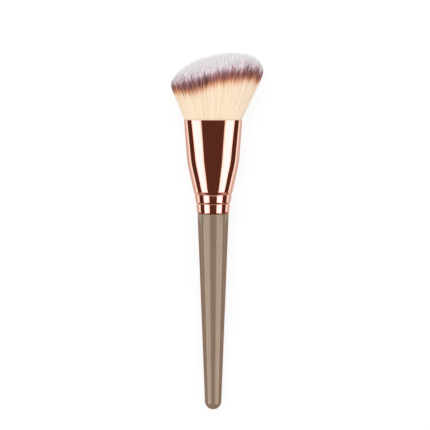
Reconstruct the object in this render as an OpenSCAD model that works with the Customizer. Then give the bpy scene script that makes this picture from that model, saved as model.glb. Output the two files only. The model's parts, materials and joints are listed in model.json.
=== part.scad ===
// A contour brush with an angled, fanned tuft, lying on its broad side.
// Each piece is drawn upright, with the brush's axis on Z and the butt of the handle at zero,
// and laid down at the end. The long side of the slanted tuft, its toe, is towards +X.

/* [Handle] */
// Length of the handle that shows, from its butt to the ferrule
handle_len = 100; // [80:0.1:130]
// Diameter of the handle at the ferrule
handle_top_d = 15.8; // [13.5:0.1:18]
// Diameter of the rounded butt
butt_d = 8.4; // [6:0.1:12]
// Length of the tenon that the ferrule grips
tenon_len = 12.5; // [10.5:0.1:16]

/* [Ferrule] */
// Length of the ferrule, from its lower lip to its mouth
ferrule_len = 47.7; // [42:0.1:56]
// Thickness of the drawn metal
wall = 0.35; // [0.25:0.01:0.5]
// Height of the lower rolled bead
low_bead_h = 4.7; // [3.5:0.1:7]
// How far the lower bead swells out of the neck
low_bead_swell = 0.25; // [0.1:0.05:0.8]
// Height of the upper rolled bead
top_bead_h = 4.7; // [3:0.1:6]
// How far the upper bead swells out of the neck
top_bead_swell = 0.4; // [0.2:0.05:1.2]
// How flat the beads' outline is, where 2 is a plain arc
bead_square = 3; // [2:0.1:6]
// How much wider than its lower lip the ferrule is at the crease between the beads
crease_step = 0.8; // [0.2:0.1:1.5]
// Diameter of the ferrule at the crease above the beads
foot_d = 18.1; // [17:0.1:20]
// Height of the flare's steep foot above that crease
foot_h = 2; // [1:0.1:4]
// Diameter of the ferrule at the top of this foot
waist_d = 19.7; // [18:0.1:22]
// Height of the shoulder, where the flare turns steeper, above the lower lip
shoulder_h = 25.9; // [20:0.1:32]
// Width of the ferrule at its shoulder
shoulder_w = 26.3; // [23:0.1:28.5]
// Depth of the ferrule at its shoulder
shoulder_deep = 20.3; // [18:0.1:22]
// Width of the pressed oval mouth
mouth_w = 29.6; // [26:0.1:34]
// Depth of the pressed oval mouth
mouth_deep = 17.7; // [14:0.1:24]
// How square the mouth's outline is, where 2 is a plain ellipse
mouth_square = 2.25; // [2:0.05:3]
// Height above the beads over which the flare turns from round to this squareness
square_rise = 2.5; // [1:0.5:36]

/* [Tuft] */
// Length of the longest fibres out of the mouth
tuft_len = 34.6; // [28:0.1:45]
// Length of the fibre roots inside the ferrule
root_len = 21; // [12:0.1:24]
// Where the cut is highest, as a place from the heel (-1) to the toe (1)
cut_peak = 0.3; // [0:0.05:0.6]
// How far the cut falls from its peak to the heel
heel_fall = 14.6; // [6:0.1:18]
// How far the cut falls from its peak to the toe
toe_fall = 8.1; // [3:0.1:14]
// How late the fall to the heel sets in, where 1 is a straight slope
heel_power = 1.8; // [1.2:0.05:3]
// How late the fall to the toe sets in
toe_power = 2.35; // [1.2:0.05:3]
// How far the cut falls from the middle to each broad face
face_fall = 6; // [2:0.1:10]
// Distance from the mouth down to where the heel's fibres would meet
heel_focus = 35; // [26:0.5:60]
// Distance from the mouth down to where the toe's fibres would meet
toe_focus = 30.5; // [26:0.5:60]
// Distance from the mouth down to where the fibres meet, seen edge on
face_focus = 46; // [35:0.5:90]
// How far the tips of the outer fibres curl inwards
tip_curl = 1.8; // [0:0.1:3]
// Length of the fibres that curls
curl_len = 8; // [4:0.5:12]
// Number of locks of fibres round the tuft
locks = 80; // [48:8:96]
// Depth of the grooves between the locks at the tips
groove = 0.5; // [0:0.05:0.9]
// How unevenly the fibre tips stand
raggedness = 0.8; // [0:0.1:1.2]

/* [Fits] */
// Clearance between the ferrule and what it holds
fit_gap = 0.05; // [0.02:0.01:0.1]

/* [Hidden] */

butt_r = butt_d / 2;
top_r = handle_top_d / 2;
taper = atan2(top_r - butt_r, handle_len - butt_r);
edge_round = 0.3;
tenon_r = top_r - wall - fit_gap;
tenon_chamfer = 0.8;

bead_steps = 10;
crease_r = top_r + crease_step / 2;
beads_h = low_bead_h + top_bead_h;
foot_r = foot_d / 2;
waist_r = waist_d / 2;
waist_h = beads_h + foot_h;
seam_overlap = 0.06;
seam_step = 0.04;

shell_sides = 72;
shell_levels = 12;
shoulder_blend = 3;
depth_blend = 6;
inner_inset = wall + fit_gap;
level_apart = 0.2;

mouth_z = handle_len + ferrule_len;
root_z = ferrule_len - root_len;
lock_points = 3;
dip_share = 0.35;
ragged_power = 4;
side_shares = [0.14, 0.28, 0.42, 0.56, 0.68, 0.79, 0.9, 1];
top_levels = 13;

// A number from 0 to 1 that looks random but is the same each time
function scatter(i, j) = let (s = sin(i * 37.7 + j * 113.3) * 91.7) s - floor(s);

// A line that changes its slope at zero, blended over a stretch on both sides
function knee(t, before, after, blend) =
    t < -blend ? before * t :
    t > blend ? after * t :
    before * t + (after - before) * pow(t + blend, 2) / (4 * blend);

// A point on an oval outline; n is 2 for an ellipse and grows towards a rectangle
function oval(a, b, n, turn) = [
    a * sign(cos(turn)) * pow(abs(cos(turn)), 2 / n),
    b * sign(sin(turn)) * pow(abs(sin(turn)), 2 / n)
];

// Half-width, half-depth and squareness of the ferrule's flare at height h above its lower lip
function flare(h, shoulder, mouth, blend) =
    h < waist_h ? foot_r + (waist_r - foot_r) * (h - beads_h) / foot_h :
    shoulder / 2 + knee(h - shoulder_h,
        (shoulder - waist_d) / 2 / (shoulder_h - waist_h),
        (mouth - shoulder) / 2 / (ferrule_len - shoulder_h), blend);
function half_w(h) = flare(h, shoulder_w, mouth_w, shoulder_blend);
function half_deep(h) = flare(h, shoulder_deep, mouth_deep, depth_blend);
function square(h) = 2 + (mouth_square - 2) * min(1, (h - beads_h) / square_rise);

// One ring of points round the flare, moved inwards by inset
function flare_ring(h, inset, count) = [
    for (i = [0:count - 1])
        let (p = oval(half_w(h) - inset, half_deep(h) - inset, square(h), 360 * i / count))
            [p[0], p[1], handle_len + h]
];
levels = concat(
    [beads_h],
    [for (i = [0:shell_levels]) waist_h + i * (ferrule_len - waist_h) / shell_levels]
);
function levels_between(low, high) = concat(
    [low],
    [for (h = levels) if (h > low + level_apart && h < high - level_apart) h],
    [high]
);

// How far above the mouth the fibre at place (u, v) ends; u runs from heel to toe, v across
function cut(u, v) =
    let (
        past = u > cut_peak,
        share = past ? (u - cut_peak) / (1 - cut_peak) : (cut_peak - u) / (1 + cut_peak),
        fall = past ? toe_fall * pow(share, toe_power) : heel_fall * pow(share, heel_power)
    )
    tuft_len - fall - face_fall * v * v;

// The point at height h above the mouth on the fibre at place (u, v)
function fibre(u, v, h) =
    let (
        focus = (heel_focus + toe_focus) / 2 + (toe_focus - heel_focus) / 2 * u,
        curled = max(0, (h - cut(u, v)) / curl_len + 1),
        curl = tip_curl * pow(curled, 3)
    )
    [
        u * (mouth_w / 2 - inner_inset) * (1 + h / focus) - curl * u * u * u,
        v * (mouth_deep / 2 - inner_inset) * (1 + h / face_focus) - curl * v * v * v,
        mouth_z + h
    ];

// A point pulled in towards the axis, for the groove beside a lock
function pulled_in(p, by) =
    let (far = norm([p[0], p[1]])) [p[0] * (1 - by / far), p[1] * (1 - by / far), p[2]];

// A ring of the tuft's side, at a share of each fibre's free length
function side_ring(share) =
    let (count = locks * lock_points)
    [
        for (i = [0:count - 1])
            let (
                p = oval(1, 1, mouth_square, 360 * i / count),
                lock = floor(i / lock_points),
                dip = i % lock_points == 0 ? 1 : dip_share * scatter(lock, 5),
                ragged = i % lock_points == 0 ? 1 : scatter(i, 0),
                low = raggedness * ragged * pow(share, ragged_power)
            )
                pulled_in(fibre(p[0], p[1], cut(p[0], p[1]) * share - low), groove * dip * share)
    ];

// A ring of fibre tips on the domed top, in clumps that stand higher and lower by turns
function top_ring(k) =
    let (
        share = 1 - k / (top_levels + 1),
        count = locks / (share > 0.5 ? 1 : share > 0.25 ? 2 : 4)
    )
    [
        for (i = [0:count - 1])
            let (
                p = share * oval(1, 1, mouth_square, 360 * i / count),
                tip = fibre(p[0], p[1], cut(p[0], p[1]))
            )
                tip - [0, 0, raggedness * (scatter(i, k) + (i + k) % 2) / 2]
    ];

tuft_rings = concat(
    [for (h = levels_between(root_z, ferrule_len)) flare_ring(h, inner_inset, locks)],
    [for (share = side_shares) side_ring(share)],
    [for (k = [1:top_levels]) top_ring(k)],
    [[fibre(0, 0, cut(0, 0) - raggedness / 2)]]
);

// The outline of one rolled bead, from one crease to the next
function bead(low, high, low_r, high_r, swell) = [
    for (k = [0:bead_steps])
        let (t = k / bead_steps, bulge = swell * (1 - pow(abs(2 * t - 1), bead_square)))
            [low_r + (high_r - low_r) * t + bulge, low + (high - low) * t]
];

// The outside of the ferrule's neck, from its lower lip to the start of the flare
neck_outline = concat(
    bead(fit_gap, low_bead_h, top_r, crease_r, low_bead_swell),
    bead(low_bead_h, beads_h, crease_r, foot_r, top_bead_swell),
    [[foot_r + seam_step, beads_h], [foot_r + seam_step, beads_h + seam_overlap]]
);

// The outside of the brush that can meet a table: the broad face of ferrule and tuft
belly = concat(
    [for (p = neck_outline) [0, p[0], handle_len + p[1]]],
    [for (h = levels) [0, half_deep(h), handle_len + h]],
    [for (ring = tuft_rings) for (p = ring) if (p[2] > mouth_z) p]
);

// The brush lies on its butt and its belly, with its axis at this angle to the table
function lean(p) =
    let (far = [p[2] - butt_r, abs(p[1])]) atan2(far[1], far[0]) - asin(butt_r / norm(far));
rest_tilt = max([for (p = belly) lean(p)]);
reach = [for (p = belly) p[1] * sin(rest_tilt) + p[2] * cos(rest_tilt)];
mid_x = (max([for (p = belly) p[0]]) + min([for (p = belly) p[0]])) / 2;
mid_y = (max(reach) + butt_r * (cos(rest_tilt) - 1)) / 2;

// Lays an upright piece down, with the middle of the whole brush over the origin
module lie() {
    translate([-mid_x, -mid_y, butt_r * (1 - sin(rest_tilt))])
        rotate([rest_tilt - 90, 0, 0])
            children();
}

// Triangles between a ring and one with a whole multiple of its points
function fan(coarse, n, fine, many) =
    let (m = many / n, half = floor(m / 2))
    [
        for (k = [0:n - 1])
            let (
                here = coarse + k,
                next = coarse + (k + 1) % n,
                f = [for (j = [0:m]) fine + (m * k + j) % many]
            )
                each concat(
                    [[here, f[half], next]],
                    [for (j = [0:m - 1]) [j < half ? here : next, f[j], f[j + 1]]]
                )
    ];
function turned(triangles) = [for (t = triangles) [t[0], t[2], t[1]]];
function band(a, n, b, m) =
    m == 1 ? [for (k = [0:n - 1]) [a + k, b, a + (k + 1) % n]] :
    m >= n ? fan(a, n, b, m) :
    turned(fan(b, m, a, n));
function start(rings, i) = i == 0 ? 0 : start(rings, i - 1) + len(rings[i - 1]);

// A skin over a stack of rings. A loop of rings is a tube's wall, otherwise the ends are closed.
module skin(rings, loop = false) {
    last = len(rings) - 1;
    sides = [
        for (i = [0:loop ? last : last - 1])
            let (j = (i + 1) % len(rings))
                each band(start(rings, i), len(rings[i]), start(rings, j), len(rings[j]))
    ];
    floor_face = [for (k = [0:len(rings[0]) - 1]) k];
    top_face = [for (k = [len(rings[last]) - 1:-1:0]) start(rings, last) + k];
    ends = loop ? [] : concat([floor_face], len(rings[last]) > 2 ? [top_face] : []);
    polyhedron([for (ring = rings) each ring], concat(sides, ends));
}

// The turned wooden handle: a long straight taper on a round butt, and a tenon for the ferrule
module handle() {
    round_r = top_r - edge_round;
    outline = concat(
        [[0, 0]],
        [for (a = [-84:6:-6]) [butt_r * cos(a), butt_r * (1 + sin(a))]],
        [[butt_r * cos(taper), butt_r * (1 - sin(taper))]],
        [for (a = [0:30:90]) [
            round_r + edge_round * cos(a), handle_len - edge_round + edge_round * sin(a)
        ]],
        [
            [tenon_r, handle_len],
            [tenon_r, handle_len + tenon_len - tenon_chamfer],
            [tenon_r - tenon_chamfer, handle_len + tenon_len],
            [0, handle_len + tenon_len]
        ]
    );
    color("#847161")
        lie()
            rotate_extrude($fn = 96)
                polygon(outline);
}

// The neck of the ferrule, with the two rolled beads that grip the tenon
module neck() {
    inner = [
        for (k = [len(neck_outline) - 1:-1:0])
            let (p = neck_outline[k])
                [p[0] - wall - (p[1] < beads_h ? 0 : 2 * seam_step), p[1]]
    ];
    translate([0, 0, handle_len])
        rotate_extrude($fn = 96)
            polygon(concat(neck_outline, inner));
}

// The flare of the ferrule, round at the beads and pressed oval at the mouth
module mouth() {
    skin(concat(
        [for (i = [0:shell_levels]) flare_ring(levels[i], 0, shell_sides)],
        [
            flare_ring(ferrule_len - wall / 3, 0, shell_sides),
            flare_ring(ferrule_len, wall / 3, shell_sides),
            flare_ring(ferrule_len, wall * 2 / 3, shell_sides),
            flare_ring(ferrule_len - wall / 3, wall, shell_sides)
        ],
        [for (i = [shell_levels:-1:0]) flare_ring(levels[i], wall, shell_sides)]
    ), loop = true);
}

// The ferrule, drawn from one sheet of metal
module ferrule() {
    color("#d9937c")
        lie()
            union() {
                neck();
                mouth();
            }
}

// The cast glue between the tenon and the fibre roots
module glue_plug() {
    color("#c9b68a")
        lie()
            skin([
                for (h = levels_between(tenon_len + fit_gap, root_z - fit_gap))
                    flare_ring(h, inner_inset, shell_sides)
            ]);
}

// The tuft of fibres: held by its roots, fanned in two directions and cut on a slanted dome
module bristle_tuft() {
    color("#f0d9b8")
        lie()
            skin(tuft_rings);
}

handle();
ferrule();
glue_plug();
bristle_tuft();
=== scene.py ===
import json
from math import asin, atan2, cos, pi, sin

import bmesh
import bpy
import numpy as np
from mathutils import Matrix, Vector
from mathutils.kdtree import KDTree


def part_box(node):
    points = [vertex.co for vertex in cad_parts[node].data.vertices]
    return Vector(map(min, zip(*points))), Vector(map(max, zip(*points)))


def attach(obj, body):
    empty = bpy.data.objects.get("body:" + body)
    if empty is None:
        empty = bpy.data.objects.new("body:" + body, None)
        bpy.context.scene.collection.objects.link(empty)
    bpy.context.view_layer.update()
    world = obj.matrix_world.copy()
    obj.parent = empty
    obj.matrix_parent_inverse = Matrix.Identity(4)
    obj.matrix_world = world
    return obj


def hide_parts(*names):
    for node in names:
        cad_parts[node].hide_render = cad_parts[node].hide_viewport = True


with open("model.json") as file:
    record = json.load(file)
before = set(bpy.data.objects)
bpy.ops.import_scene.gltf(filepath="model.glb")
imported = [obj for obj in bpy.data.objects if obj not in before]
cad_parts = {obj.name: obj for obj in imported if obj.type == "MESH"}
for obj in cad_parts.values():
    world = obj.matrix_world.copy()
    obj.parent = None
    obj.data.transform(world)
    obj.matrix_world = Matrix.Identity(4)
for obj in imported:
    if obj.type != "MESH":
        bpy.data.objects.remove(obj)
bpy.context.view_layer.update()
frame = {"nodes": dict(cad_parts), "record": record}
mm = 0.001
scene = bpy.context.scene
scene.view_settings.view_transform = "Standard"

# Camera
# It hangs straight above the brush, which lies on its broad side, with the butt at the bottom of
# the picture. The picture's width is measured level with the brush's axis.
picture_middle = (-1.13 * mm, 8.23 * mm)
picture_width = 218.8 * mm
axis_height = 9 * mm
lens = 200
sensor = 36

camera_data = bpy.data.cameras.new("camera")
camera_data.lens = lens
camera_data.sensor_width = sensor
camera = bpy.data.objects.new("camera", camera_data)
camera.location = (*picture_middle, axis_height + picture_width * lens / sensor)
scene.collection.objects.link(camera)
scene.camera = camera

# Room
# A studio as gloss and metal mirror it: two long soft boxes left and right of a dark ceiling,
# dark screens below them, then the lit sheet, which is darker under the brush. Beyond the butt
# it is dark too, and beyond the tuft stands a pale wall. Low down both ends are a dull grey.
ceiling = (0.11, 0.042, 0.028)
screen = (0.1, 0.038, 0.025)
box_glow = (2.6, 2.1, 2.65)
box_fold = (2.4, 1.9, 2.3)
box_edge = (1.7, 1.7, 1.7)
wall = (1.1, 1.1, 1.1)
low_wall = (0.5, 0.46, 0.44)
open_sheet = (1.35, 1.54, 1.62)
near_brush = (0.82, 0.8, 0.77)
under_brush = (0.66, 0.55, 0.5)
room_light = 0.87


def add(tree, kind, inputs=None, **settings):
    """Adds a node. An input that is given a socket is linked to it, and any other is set."""
    node = tree.nodes.new(kind)
    for name, value in settings.items():
        setattr(node, name, value)
    for name, value in (inputs or {}).items():
        if isinstance(value, bpy.types.NodeSocket):
            tree.links.new(value, node.inputs[name])
        else:
            node.inputs[name].default_value = value
    return node


def maths(tree, operation, *values):
    """The result of a Math node on values or sockets."""
    return add(tree, "ShaderNodeMath", dict(enumerate(values)), operation=operation).outputs[0]


def ramp(tree, place, stops):
    """The colour at a place from 0 to 1, between stops of (place, colour)."""
    node = add(tree, "ShaderNodeValToRGB", {"Fac": place})
    elements = node.color_ramp.elements
    elements.remove(elements[-1])
    for i, (at, colour) in enumerate(stops):
        element = elements.new(at) if i else elements[0]
        element.position = at
        element.color = (*colour, 1)
    return node.outputs["Color"]


def mixed(tree, share, first, second):
    """A colour between two, given as colours or sockets. The node has its colour sockets by
    number, because their names aren't theirs alone."""
    values = {"Factor": share, 6: first, 7: second}
    return add(tree, "ShaderNodeMix", values, data_type="RGBA").outputs[2]


def either(tree, test, no, yes):
    """The shader no where the test socket is 0, and yes where it is 1."""
    return add(tree, "ShaderNodeMixShader", {0: test, 1: no, 2: yes}).outputs[0]


def glow(tree, colour, strength=1):
    """Plain light of one colour, or of a colour socket."""
    if not isinstance(colour, bpy.types.NodeSocket):
        colour = (*colour, 1)
    kind = "ShaderNodeBackground" if tree == scene.world.node_tree else "ShaderNodeEmission"
    return add(tree, kind, {"Color": colour, "Strength": strength}).outputs[0]


world = bpy.data.worlds.new("studio")
world.use_nodes = True
scene.world = world
sky = world.node_tree
sky.nodes.clear()
ray = add(sky, "ShaderNodeLightPath").outputs
looking = add(sky, "ShaderNodeTexCoord").outputs["Generated"]
way = add(sky, "ShaderNodeSeparateXYZ", {0: looking}).outputs

# Metal that is turned by half_turn about the brush's axis mirrors this way to a camera overhead
half_turn = maths(sky, "ARCTAN2", maths(sky, "ABSOLUTE", way["X"]), maths(sky, "ADD", way["Z"], 1))
across = ramp(sky, maths(sky, "DIVIDE", half_turn, pi / 2), [
    (0, ceiling),
    (0.134, ceiling),
    (0.142, box_edge),
    (0.19, box_glow),
    (0.22, box_fold),
    (0.25, box_glow),
    (0.29, box_glow),
    (0.348, box_edge),
    (0.356, screen),
    (0.545, screen),
    (0.555, open_sheet),
    (0.6, open_sheet),
    (0.68, near_brush),
    (0.96, under_brush),
])
along = maths(sky, "MULTIPLY_ADD", way["Y"], 0.5, 0.5)
past_box = ramp(sky, along, [
    (0.195, (1, 1, 1)),
    (0.215, (0, 0, 0)),
    (0.705, (0, 0, 0)),
    (0.735, (1, 1, 1)),
])
end_wall = ramp(sky, along, [(0.5, screen), (0.55, wall), (0.88, wall), (0.97, screen)])
low_down = add(sky, "ShaderNodeMapRange", {
    "Value": way["Z"], "From Min": 0.36, "From Max": 0.12,
}).outputs[0]
end_wall = mixed(sky, low_down, end_wall, (*low_wall, 1))
mirrored = glow(sky, mixed(sky, past_box, across, end_wall))
lit = either(sky, ray["Is Glossy Ray"], glow(sky, (1, 1, 1), room_light), mirrored)
seen = either(sky, ray["Is Camera Ray"], lit, glow(sky, (1, 1, 1)))
add(sky, "ShaderNodeOutputWorld", {"Surface": seen})

# Lamp
# One wide soft lamp up on the left models the round forms a little and gives the soft shadow.
# With the room's even light it comes to the level at which a colour shows about as written.
lamp_data = bpy.data.lights.new("soft_lamp", "AREA")
lamp_data.shape = "DISK"
lamp_data.size = 0.7
lamp_data.energy = 2.2
lamp = bpy.data.objects.new("soft_lamp", lamp_data)
lamp.location = (-0.12, 0.5, 0.78)
lamp.rotation_euler = lamp.location.to_track_quat("Z", "Y").to_euler()
lamp.visible_glossy = False
scene.collection.objects.link(lamp)

# Strip lamps
# Two low strips of light that only the handle's lacquer sees. They carry the boxes' reflection
# a little further round it, as the real handle shows.
strip_x = 300 * mm
strip_y = -164 * mm
strip_z = 108 * mm
strip_len = 272 * mm
strip_h = 84 * mm
strip_energy = 0.238
strip_colour = (1, 0.81, 1)

by_handle = bpy.data.collections.new("by_handle")
by_handle.objects.link(frame["nodes"]["handle"])
for name, side in (("left", -1), ("right", 1)):
    strip_data = bpy.data.lights.new("strip_lamp_" + name, "AREA")
    strip_data.shape = "RECTANGLE"
    strip_data.size = strip_len
    strip_data.size_y = strip_h
    strip_data.energy = strip_energy
    strip_data.color = strip_colour
    strip_lamp = bpy.data.objects.new("strip_lamp_" + name, strip_data)
    strip_lamp.location = (side * strip_x, strip_y, strip_z)
    strip_lamp.rotation_euler = Vector((side, 0, 0)).to_track_quat("Z", "Y").to_euler()
    strip_lamp.visible_diffuse = False
    strip_lamp.light_linking.receiver_collection = by_handle
    scene.collection.objects.link(strip_lamp)

# Table
# A white sheet that fills the picture and takes the soft shadow. The camera sees it lifted to
# white, with the shadow pale. Gloss and metal mirror the room's own lit sheet in its place, and
# brown paper beside the handle.
table_half = 3
sheet_colour = (0.8, 0.8, 0.8, 1)
shade_taken = (0.18, 0.18, 0.18, 1)
sheet_glow = (0.84, 0.84, 0.84)
brown_paper = (0.45, 0.185, 0.12)
paper_end = 8 * mm
paper_end_fade = 3 * mm
paper_slant = 0.2
paper_half_w = 55 * mm
paper_side_fade = 10 * mm

bm = bmesh.new()
bmesh.ops.create_grid(bm, x_segments=1, y_segments=1, size=table_half)
table_mesh = bpy.data.meshes.new("table")
bm.to_mesh(table_mesh)
bm.free()
table = bpy.data.objects.new("table", table_mesh)
scene.collection.objects.link(table)

white_sheet = bpy.data.materials.new("white_sheet")
white_sheet.use_nodes = True
tree = white_sheet.node_tree
tree.nodes.clear()
ray = add(tree, "ShaderNodeLightPath").outputs
clear = add(tree, "ShaderNodeBsdfTransparent").outputs[0]
paper = add(tree, "ShaderNodeBsdfDiffuse", {"Color": sheet_colour}).outputs[0]
shaded = add(tree, "ShaderNodeBsdfDiffuse", {"Color": shade_taken}).outputs[0]
lifted = add(tree, "ShaderNodeAddShader", {0: shaded, 1: glow(tree, sheet_glow)}).outputs[0]
shown = either(tree, ray["Is Camera Ray"], paper, lifted)
place = add(tree, "ShaderNodeTexCoord").outputs["Object"]
spot = add(tree, "ShaderNodeSeparateXYZ", {0: place}).outputs
beside = maths(tree, "ABSOLUTE", spot["X"])
past_end = add(tree, "ShaderNodeMapRange", {
    "Value": maths(tree, "MULTIPLY_ADD", beside, paper_slant, spot["Y"]),
    "From Min": paper_end, "From Max": paper_end + paper_end_fade,
}).outputs[0]
past_side = add(tree, "ShaderNodeMapRange", {
    "Value": beside, "From Min": paper_half_w, "From Max": paper_half_w + paper_side_fade,
}).outputs[0]
off_paper = maths(tree, "MAXIMUM", past_end, past_side)
mirrored = either(tree, off_paper, glow(tree, brown_paper), clear)
shown = either(tree, ray["Is Glossy Ray"], shown, mirrored)
add(tree, "ShaderNodeOutputMaterial", {"Surface": shown})
table_mesh.materials.append(white_sheet)


# Handle
# One piece of turned wood, sanded and dipped in taupe lacquer. Its tenon goes into the ferrule.
# It is the CAD node itself, with the lacquer on it.
lacquer_base = (0.24, 0.175, 0.13)
cloudiness = 0.04


def finish_of(name):
    """A new material with an empty node tree: (material, tree)."""
    material = bpy.data.materials.new(name)
    material.use_nodes = True
    material.node_tree.nodes.clear()
    return material, material.node_tree


def surface(tree, **inputs):
    """A Principled shader on the material's output; an input's name has _ for its spaces."""
    named = {name.replace("_", " "): value for name, value in inputs.items()}
    shader = add(tree, "ShaderNodeBsdfPrincipled", named)
    add(tree, "ShaderNodeOutputMaterial", {"Surface": shader.outputs[0]})


def wear(piece, material):
    """Gives a piece this one material."""
    piece.data.materials.clear()
    piece.data.materials.append(material)


lacquer, tree = finish_of("taupe_lacquer")
place = add(tree, "ShaderNodeTexCoord").outputs["Object"]
cloudy = add(tree, "ShaderNodeTexNoise", {"Vector": place, "Scale": 90, "Detail": 3})
tint = ramp(tree, cloudy.outputs["Fac"], [
    (0.3, tuple((1 - cloudiness) * c for c in lacquer_base)),
    (0.7, tuple((1 + cloudiness) * c for c in lacquer_base)),
])
peel = add(tree, "ShaderNodeTexNoise", {"Vector": place, "Scale": 900, "Detail": 2})
bump = add(tree, "ShaderNodeBump", {
    "Height": peel.outputs["Fac"], "Strength": 0.04, "Distance": 0.00002,
})
surface(
    tree, Base_Color=tint, Roughness=0.17, IOR=1.5, Specular_Tint=(1, 0.98, 0.6, 1),
    Specular_IOR_Level=1.0, Normal=bump.outputs["Normal"],
)
handle = frame["nodes"]["handle"]
wear(handle, lacquer)

# Glue plug
# Epoxy cast into the ferrule between the tenon and the fibre roots. Nothing of it shows. It is
# the CAD node itself.
epoxy, tree = finish_of("amber_epoxy")
place = add(tree, "ShaderNodeTexCoord").outputs["Object"]
cloudy = add(tree, "ShaderNodeTexNoise", {"Vector": place, "Scale": 250, "Detail": 4})
amber = ramp(tree, cloudy.outputs["Fac"], [(0.35, (0.42, 0.32, 0.15)), (0.65, (0.6, 0.5, 0.29))])
surface(tree, Base_Color=amber, Roughness=0.3, IOR=1.55)
wear(frame["nodes"]["glue_plug"], epoxy)

# Ferrule
# One drawn tube of rose-coloured aluminium, polished. Its neck is rolled into two beads that
# grip the tenon, and its flare is pressed oval at the mouth, where the fibres come out.
handle_len = 100 * mm
lip_r = 7.9 * mm
ferrule_len = 47.7 * mm
sheet = 0.35 * mm
low_bead_h = 4.95 * mm
top_bead_h = 4.7 * mm
beads_h = low_bead_h + top_bead_h
low_bead_swell = 0.25 * mm
top_bead_swell = 0.39 * mm
bead_square = 4
crease_r = 8.3 * mm
foot_r = 9.05 * mm
foot_h = 1.6 * mm
foot_in = 0.35 * mm
waist_r = 9.85 * mm
waist_h = beads_h + foot_h
shoulder_h = 25.9 * mm
shoulder_half_w = 13.15 * mm
shoulder_half_deep = 10.15 * mm
mouth_half_w = 14.8 * mm
mouth_half_deep = 8.85 * mm
mouth_square = 2.25
square_rise = 2.5 * mm
width_blend = 3 * mm
depth_blend = 6 * mm
flare_steps = 44
bead_steps = 20
round_steps = 144


def knee(t, before, after, blend):
    """A line through zero that changes its slope there, blended over a stretch on both sides."""
    bent = before * t + (after - before) * (t + blend) ** 2 / (4 * blend)
    return np.where(t < -blend, before * t, np.where(t > blend, after * t, bent))


def flare(h, waist, shoulder, mouth, blend):
    """Half of the flare's width or depth at height h above the ferrule's lower lip."""
    below = (shoulder - waist) / (shoulder_h - waist_h)
    above = (mouth - shoulder) / (ferrule_len - shoulder_h)
    return shoulder + knee(h - shoulder_h, below, above, blend)


def half_w(h):
    return flare(h, waist_r, shoulder_half_w, mouth_half_w, width_blend)


def half_deep(h):
    return flare(h, waist_r, shoulder_half_deep, mouth_half_deep, depth_blend)


def oval(power, turn):
    """A point on an oval of half-width and half-depth 1. Its power is 2 for a circle."""
    x, y = np.cos(turn), np.sin(turn)
    return np.sign(x) * abs(x) ** (2 / power), np.sign(y) * abs(y) ** (2 / power)


def bead(low, high, low_r, high_r, swell):
    """The outline of one rolled bead, as (radius, height), up to the next crease."""
    t = (1 - np.cos(np.linspace(0, pi, bead_steps, endpoint=False))) / 2
    bulge = swell * (1 - abs(2 * t - 1) ** bead_square)
    return list(zip(low_r + (high_r - low_r) * t + bulge, low + (high - low) * t))


def lip(r, h, towards):
    """The rounded edge of the sheet at an end of the tube, from the outside to the inside."""
    turn = np.radians([30, 60, 90, 120, 150])
    half = sheet / 2
    return list(zip(r - half + half * np.cos(turn), h + towards * half * np.sin(turn)))


flare_h = np.concatenate([
    np.linspace(beads_h, waist_h, bead_steps, endpoint=False),
    np.linspace(waist_h, ferrule_len - sheet, flare_steps),
    [ferrule_len - sheet / 2],
])
foot = foot_in * np.clip((waist_h - flare_h) / foot_h, 0, 1) ** 2
outside = (
    bead(sheet / 2, low_bead_h, lip_r, crease_r, low_bead_swell)
    + bead(low_bead_h, beads_h, crease_r, foot_r, top_bead_swell)
    + list(zip(half_w(flare_h) - foot, flare_h))
)
inside = [(r - sheet, h) for r, h in reversed(outside)]
outline = (
    outside + lip(outside[-1][0], outside[-1][1], 1) + inside
    + lip(outside[0][0], outside[0][1], -1)[::-1]
)

# The axis leans a little, from the butt on the table up to the tuft, as the CAD says
low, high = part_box("handle")
butt_r = 4.2 * mm
lean = asin(-frame["record"]["mounts"][0]["axis"][2])
laid = Matrix.Translation((
    (low.x + high.x) / 2,
    low.y + butt_r - butt_r * cos(lean),
    butt_r * (1 - sin(lean)),
)) @ Matrix.Rotation(lean - pi / 2, 4, "X")


def piece_from(bm, name, material, smooth=True):
    """Lays a finished bmesh down as a piece of the brush."""
    bm.transform(laid)
    mesh = bpy.data.meshes.new(name)
    bm.to_mesh(mesh)
    bm.free()
    if smooth:
        mesh.shade_smooth()
    else:
        mesh.shade_flat()
    piece = bpy.data.objects.new(name, mesh)
    scene.collection.objects.link(piece)
    wear(piece, material)
    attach(piece, "root")
    return piece


bm = bmesh.new()
ring = [bm.verts.new((r, 0, h)) for r, h in outline]
edges = [bm.edges.new((ring[i - 1], ring[i])) for i in range(len(ring))]
bmesh.ops.spin(
    bm, geom=ring + edges, axis=(0, 0, 1), cent=(0, 0, 0), angle=2 * pi, steps=round_steps,
    use_merge=True,
)
bmesh.ops.remove_doubles(bm, verts=bm.verts, dist=1e-7)
bmesh.ops.recalc_face_normals(bm, faces=bm.faces)
for vert in bm.verts:
    h = max(vert.co.z, waist_h)
    r = np.hypot(vert.co.x, vert.co.y)
    flat = float(half_w(h) - half_deep(h))
    power = 2 + (mouth_square - 2) * min(max((vert.co.z - beads_h) / square_rise, 0), 1)
    x, y = oval(power, np.arctan2(vert.co.y, vert.co.x))
    vert.co.x = r * x
    vert.co.y = (r - flat) * y
bmesh.ops.translate(bm, verts=bm.verts, vec=(0, 0, handle_len))

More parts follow.
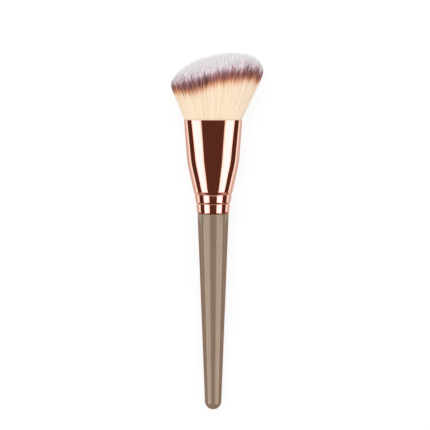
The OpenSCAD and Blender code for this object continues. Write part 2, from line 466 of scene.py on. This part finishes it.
rose, tree = finish_of("rose_metal")
place = add(tree, "ShaderNodeTexCoord").outputs["Object"]
stretched = add(tree, "ShaderNodeMapping", {"Vector": place, "Scale": (1, 0.02, 1)})
drawn = add(tree, "ShaderNodeTexNoise", {
    "Vector": stretched.outputs[0], "Scale": 4000, "Detail": 3,
})
polish = add(tree, "ShaderNodeMapRange", {
    "Value": drawn.outputs["Fac"], "To Min": 0.05, "To Max": 0.1,
})
surface(
    tree, Base_Color=(0.85, 0.47, 0.36, 1), Metallic=1.0, Roughness=polish.outputs[0],
)
ferrule = piece_from(bm, "ferrule_tube", rose)
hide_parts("ferrule")

# Tuft
# Soft synthetic fibres with tapered tips, tied as a bundle, fanned by their roots in the oval
# mouth and cut on a slanted dome. They are dyed: cream, then a brown band, and silvery tips.
tuft_len = 34.6 * mm
cut_peak = 0.3
heel_fall = 14.3 * mm
toe_fall = 8.1 * mm
heel_power = 1.72
toe_power = 2.7
face_fall = 6 * mm
heel_focus = 35 * mm
toe_focus = 30 * mm
face_focus = 46 * mm
tip_curl = 1.8 * mm
curl_len = 8 * mm
root_inset = 0.4 * mm
mouth_z = handle_len + ferrule_len


def cut(u, v):
    """Height above the mouth at which the fibre at (u, v) ends: u heel to toe, v across."""
    past = np.clip((u - cut_peak) / (1 - cut_peak), 0, 2)
    short = np.clip((cut_peak - u) / (1 + cut_peak), 0, 2)
    fall = toe_fall * past**toe_power + heel_fall * short**heel_power
    return tuft_len - fall - face_fall * v**2


def on_fibre(u, v, h):
    """The points at height h above the mouth on the fibres at (u, v), upright."""
    focus = (heel_focus + toe_focus) / 2 + (toe_focus - heel_focus) / 2 * u
    curl = tip_curl * np.clip((h - cut(u, v)) / curl_len + 1, 0, 2) ** 3
    x = u * (mouth_half_w - root_inset) * (1 + h / focus) - curl * u**3
    y = v * (mouth_half_deep - root_inset) * (1 + h / face_focus) - curl * v**3
    return np.stack([x, y, mouth_z + h], -1)


# The dye follows a map: up it from 40 mm under a fibre's tip to the tip, and across it from heel
# to toe, in strips of fibres that took the dye alike
map_len = 40 * mm
dyed_len = 16 * mm
strips = 120

dye, tree = finish_of("dyed_fibre")
on_map = add(tree, "ShaderNodeUVMap", uv_map="OFBake").outputs[0]
spread = add(tree, "ShaderNodeSeparateXYZ", {0: on_map}).outputs
strip = maths(tree, "FLOOR", maths(tree, "MULTIPLY", spread["X"], strips))
under_tip = maths(tree, "MULTIPLY", maths(tree, "SUBTRACT", 1, spread["Y"]), map_len / mm)


def uneven(scale, amount):
    """A number that changes from strip to strip, with a middle of zero."""
    noise = add(tree, "ShaderNodeTexNoise", {
        "W": maths(tree, "MULTIPLY", strip, scale), "Scale": 1, "Detail": 0,
    }, noise_dimensions="1D")
    return maths(tree, "MULTIPLY", maths(tree, "SUBTRACT", noise.outputs["Fac"], 0.5), amount)


taken = maths(tree, "ADD", under_tip, uneven(7.1, 0.9))
dyed = ramp(tree, maths(tree, "DIVIDE", taken, dyed_len / mm), [
    (0, (0.99, 0.97, 0.98)),
    (0.04, (0.98, 0.955, 0.965)),
    (0.1, (0.92, 0.86, 0.885)),
    (0.17, (0.74, 0.62, 0.66)),
    (0.235, (0.48, 0.3, 0.33)),
    (0.3, (0.29, 0.12, 0.125)),
    (0.38, (0.29, 0.1, 0.08)),
    (0.45, (0.45, 0.175, 0.1)),
    (0.54, (0.82, 0.44, 0.25)),
    (0.63, (0.95, 0.75, 0.56)),
    (0.74, (0.97, 0.82, 0.64)),
])

# The strips differ a little all along, and much more in the dark band
brightness = add(tree, "ShaderNodeRGBToBW", {0: dyed}).outputs[0]
dark = maths(tree, "POWER", maths(tree, "SUBTRACT", 1, brightness), 2)
cream_level = maths(tree, "ADD", uneven(3.3, 0.04), 1)
level = maths(tree, "MULTIPLY_ADD", dark, uneven(5.7, 2.3), cream_level)
toned = add(tree, "ShaderNodeVectorMath", {0: dyed, "Scale": level}, operation="SCALE")
surface(
    tree, Base_Color=toned.outputs[0], Roughness=0.5, Specular_IOR_Level=0.35,
    Sheen_Weight=0.05,
)

# Packed middle of the tuft
# The inner fibres, pressed together so that no gap shows between them. It closes the tuft just
# under the tips and behind the outer fibres.
core_share = 0.965
core_depth = 2.5 * mm
core_root = 2 * mm
# In the middle the dye's map runs at this share, slower than at the edge: painted light that keeps
# the middle's tips paler against the shade between them
middle_painted_light_share = 0.35
core_sides = 120
side_levels = 16
dome_levels = 14

bm = bmesh.new()
turn_of = bm.verts.layers.float.new("turn")
across_of = bm.verts.layers.float.new("across")
gap_of = bm.verts.layers.float.new("gap")
spread_of = bm.loops.layers.uv.new("OFBake")
end = bmesh.ops.create_circle(bm, cap_ends=True, radius=1, segments=core_sides)["verts"]
for vert in end:
    vert[turn_of] = atan2(vert.co.y, vert.co.x) % (2 * pi)


def edge_share(u, v):
    """1 for a fibre at the tuft's edge, falling quickly to 0 in its middle."""
    return (abs(u) ** mouth_square + abs(v) ** mouth_square) ** (4 / mouth_square)


def dye_and_painted_light_share(u, v):
    """How fast the dye's map runs down a fibre: fully at the edge and slower in the middle, where
    only tips show. The slow map there is painted light: it keeps the middle's tips paler against
    the shade that falls between them.
    """
    return middle_painted_light_share + (1 - middle_painted_light_share) * edge_share(u, v)


def onto_fibres(verts, share, climb):
    """Moves a ring onto the fibres at a share of the oval, climb being 0 at the roots and 1 just
    under the tips, and notes its place on the dye's map."""
    for vert in verts:
        u, v = (share * x for x in oval(mouth_square, vert[turn_of]))
        top = cut(u, v) - core_depth
        h = (top + core_root) * climb - core_root
        vert.co = on_fibre(u, v, h)
        vert[gap_of] = (top + core_depth - h) * dye_and_painted_light_share(u, v)
        vert[across_of] = (u + 1) / 2


face = end[0].link_faces[0]
onto_fibres(face.verts, core_share, 0)
rings = [(core_share, climb) for climb in np.linspace(0, 1, side_levels)[1:]]
rings += [(share, 1) for share in np.linspace(core_share, 0, dome_levels, endpoint=False)[1:]]
for share, climb in rings:
    face = bmesh.ops.extrude_discrete_faces(bm, faces=[face])["faces"][0]
    onto_fibres(face.verts, share, climb)
crown = bmesh.ops.poke(bm, faces=[face])["verts"][0]
crown[across_of] = 0.5
# The crown takes the middle's slow map too: painted light that keeps it pale
crown[gap_of] = core_depth * middle_painted_light_share
bmesh.ops.holes_fill(bm, edges=[edge for edge in bm.edges if edge.is_boundary])
bmesh.ops.recalc_face_normals(bm, faces=bm.faces)
for face in bm.faces:
    for loop in face.loops:
        loop[spread_of].uv = (loop.vert[across_of], 1 - loop.vert[gap_of] / map_len)
core = piece_from(bm, "tuft_core", dye)
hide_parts("bristle_tuft")

# Fibres
# Every fibre that shows, as a thin rod with a tapered tip, closed at both ends. Each ends a little
# under the cut, and those of one lock lean together and took the dye nearly alike. The outer ones
# show from the mouth up, the others only near their tips.
fibre_r = 0.1 * mm
fibre_spacing = 0.117 * mm
lock_spacing = 0.4 * mm
side_share = 0.93
lock_pull = 0.25
pull_len = 6 * mm
lock_fall = 0.1 * mm
fibre_fall = 1.25 * mm
fall_spread = 0.75 * mm
lock_lean_len = 12 * mm
lock_drift = 0.012
reach = 0.983

# A fibre belongs to the nearest lock, measured across the tuft's face in mm
tuft_half_w = 24
tuft_half_deep = 12.5

# The band stands nearer the tips at heel and toe, and near the toe it differs from lock to lock.
# Each lock bled some of its dye further up, more so near the two ends, but never at the tip.
band_at = [-1, -0.45, 0.25, 0.55, 1]
band_rise = [3.9 * mm, 0.1 * mm, 0.35 * mm, 0.5 * mm, 2.4 * mm]
band_depth = 5 * mm
bleed = 0.32
end_bleed = 1
most_bleed = 0.9
bleed_fade = 1.5 * mm
dye_spread = 0.25 * mm
toe_shift = 0.7 * mm
dye_fade = 3 * mm
draw = np.random.default_rng(11)

section_curve = bpy.data.curves.new("section", "CURVE")
section_curve.dimensions = "3D"
corners = section_curve.splines.new("POLY")
corners.points.add(2)
corners.use_cyclic_u = True
for point, turn in zip(corners.points, (0, -2 * pi / 3, -4 * pi / 3)):
    point.co = (cos(turn), sin(turn), 0, 1)
section = bpy.data.objects.new("section", section_curve)
scene.collection.objects.link(section)


def rooted(spacing):
    """Places (u, v) in rows over the oval mouth, each a little off its place."""
    rows = np.arange(-mouth_half_deep, mouth_half_deep, spacing * sin(pi / 3))
    row = np.arange(-mouth_half_w, mouth_half_w, spacing)
    x, y = np.meshgrid(row, rows)
    x[::2] += spacing / 2
    x += spacing / 4 * draw.normal(size=x.shape)
    y += spacing / 4 * draw.normal(size=y.shape)
    u, v = x.ravel() / mouth_half_w, y.ravel() / mouth_half_deep
    inside = abs(u) ** mouth_square + abs(v) ** mouth_square < 1
    return u[inside], v[inside]


lock_u, lock_v = rooted(lock_spacing)
lock_count = len(lock_u)
locks = KDTree(lock_count)
for i in range(lock_count):
    locks.insert((lock_u[i] * tuft_half_w, lock_v[i] * tuft_half_deep, 0), i)
locks.balance()
lock_depth = lock_fall * abs(draw.normal(size=lock_count))
lock_lean = lock_drift * draw.normal(size=(2, lock_count))
lock_rise = abs(draw.normal(size=lock_count))
lock_shift = draw.normal(size=lock_count)


def fibres(name, u, v, gaps, radii):
    """A piece of the fibres rooted at (u, v). gaps are the distances under the tip at which a
    fibre has a point, as an array (fibre, point), and radii its thickness at these points."""
    count, points = gaps.shape
    lock = np.array([
        locks.find((a * tuft_half_w, b * tuft_half_deep, 0))[1] for a, b in zip(u, v)
    ])
    short = lock_depth[lock] + np.maximum(fibre_fall + fall_spread * draw.normal(size=count), 0)
    h = (cut(u, v) - short)[:, None] - gaps
    pull = lock_pull * np.clip(1 - gaps / pull_len, 0, 1) ** 1.5
    lean = np.clip(1 - gaps / lock_lean_len, 0, 1) ** 2
    path_u = u[:, None] + pull * (lock_u[lock] - u)[:, None] + lean * lock_lean[0, lock][:, None]
    path_v = v[:, None] + pull * (lock_v[lock] - v)[:, None] + lean * lock_lean[1, lock][:, None]
    room = (1 - np.minimum(abs(path_u), 1) ** mouth_square) ** (1 / mouth_square)
    path_v = np.clip(path_v, -reach * room, reach * room)
    paths = np.concatenate([on_fibre(path_u, path_v, h), np.ones((count, points, 1))], -1)
    curve = bpy.data.curves.new(name, "CURVE")
    curve.dimensions = "3D"
    curve.bevel_mode = "OBJECT"
    curve.bevel_object = section
    for path, turn in zip(paths, draw.uniform(0, 2 * pi, count)):
        spline = curve.splines.new("POLY")
        spline.points.add(points - 1)
        spline.points.foreach_set("co", path.ravel())
        spline.points.foreach_set("radius", radii)
        spline.points.foreach_set("tilt", np.full(points, turn))
    swept = bpy.data.objects.new(name, curve)
    scene.collection.objects.link(swept)
    seen = swept.evaluated_get(bpy.context.evaluated_depsgraph_get())
    mesh = bpy.data.meshes.new_from_object(seen)
    bpy.data.objects.remove(swept)
    bpy.data.curves.remove(curve)

    # The mesh has fibre after fibre, point after point, with three corners at each
    strip = np.floor((lock_u[lock] + 1) / 2 * strips)
    edge = edge_share(u, v)
    early = np.interp(u, band_at, band_rise) * edge + dye_spread * draw.normal(size=count)
    early += toe_shift * lock_shift[lock] * np.maximum(u, 0) ** 2
    early = early[:, None] * np.minimum(gaps / dye_fade, 1)
    # The map runs slower in the middle: painted light that keeps the tips there paler
    depth = gaps * dye_and_painted_light_share(u, v)[:, None] + early
    bled = np.minimum((bleed + end_bleed * u**2) * lock_rise[lock], most_bleed)
    bled = (bled * edge)[:, None] * np.maximum(band_depth - depth, 0)
    depth = np.maximum(depth + bled * np.minimum(gaps / bleed_fade, 1), 0)
    spots = np.empty((count, points, 3, 2))
    spots[..., 0] = (strip[:, None, None] + np.array([0.1, 0.5, 0.9])) / strips
    spots[..., 1] = 1 - depth[:, :, None] / map_len
    corner_verts = np.empty(len(mesh.loops), np.int32)
    mesh.loops.foreach_get("vertex_index", corner_verts)
    spread = mesh.uv_layers[0]
    spread.name = "OFBake"
    spread.uv.foreach_set("vector", spots.reshape(-1, 2)[corner_verts].ravel())
    bm = bmesh.new()
    bm.from_mesh(mesh)
    bpy.data.meshes.remove(mesh)
    bmesh.ops.remove_doubles(bm, verts=bm.verts, dist=1e-8)
    bmesh.ops.recalc_face_normals(bm, faces=bm.faces)
    piece = piece_from(bm, name, dye, smooth=False)
    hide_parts("bristle_tuft")


fibre_u, fibre_v = rooted(fibre_spacing)
off_middle = (abs(fibre_u) ** mouth_square + abs(fibre_v) ** mouth_square) ** (1 / mouth_square)
outer = np.flatnonzero(off_middle >= side_share)
inner = np.flatnonzero(off_middle < side_share)
inner = inner[np.argsort(fibre_u[inner])]

tip_gaps = np.array([4.5, 3, 1.6, 0.7, 0]) * mm
tip_radii = np.array([0, 1, 0.85, 0.5, 0]) * fibre_r
for place, chosen in zip(("heel", "low", "middle", "toe"), np.array_split(inner, 4)):
    gaps = np.tile(tip_gaps, (len(chosen), 1))
    fibres("tuft_tips_" + place, fibre_u[chosen], fibre_v[chosen], gaps, tip_radii)

side_climbs = np.array([0, 0.08, 0.4, 0.65, 0.84, 0.95, 1])
side_radii = np.array([0, 1, 1, 1, 0.95, 0.6, 0]) * fibre_r
for place, chosen in (("front", fibre_v[outer] < 0), ("back", fibre_v[outer] >= 0)):
    u, v = fibre_u[outer][chosen], fibre_v[outer][chosen]
    gaps = (cut(u, v) + core_root)[:, None] * (1 - side_climbs)
    fibres("tuft_side_" + place, u, v, gaps, side_radii)
bpy.data.objects.remove(section)
